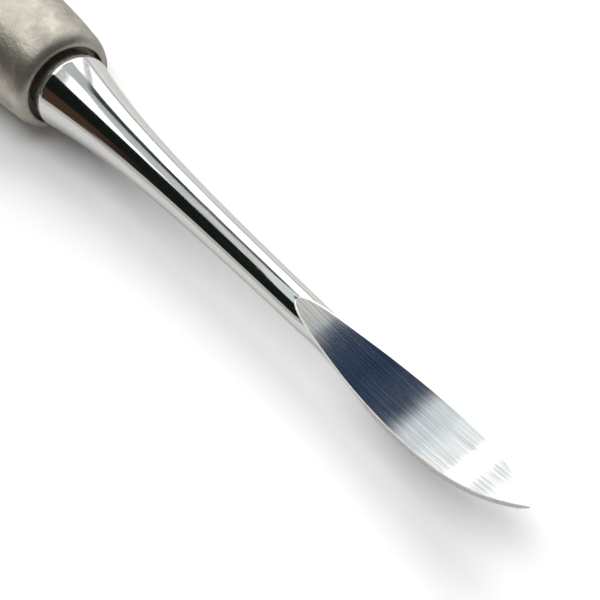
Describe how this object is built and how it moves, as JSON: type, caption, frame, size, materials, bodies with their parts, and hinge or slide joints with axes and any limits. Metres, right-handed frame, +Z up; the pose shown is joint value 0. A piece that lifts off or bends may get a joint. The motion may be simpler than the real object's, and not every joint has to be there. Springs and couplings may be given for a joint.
{
  "type": "periosteal elevator",
  "caption": "Double-ended dental elevator with a round matte handle, polished tapering shanks, a pointed leaf blade and a broad round-ended blade.",
  "frame": {"origin": "middle of the handle, on its axis", "axes": "+X along the handle's axis towards the pointed blade, +Z up on the blades' ground side"},
  "size_m": [0.18, 0.009, 0.009],
  "materials": {
    "blasted_steel": "coarse blasted matte",
    "polished_steel": "polished shank, brushed blade face",
    "braze": "dark oxidised braze"
  },
  "bodies": {
    "root": {"handle_tube": "blasted_steel", "front_end_cone": "blasted_steel", "rear_end_cone": "blasted_steel", "pointed_blade": "polished_steel", "rounded_blade": "polished_steel", "front_braze_ring": "braze", "rear_braze_ring": "braze"}
  },
  "joints": []
}
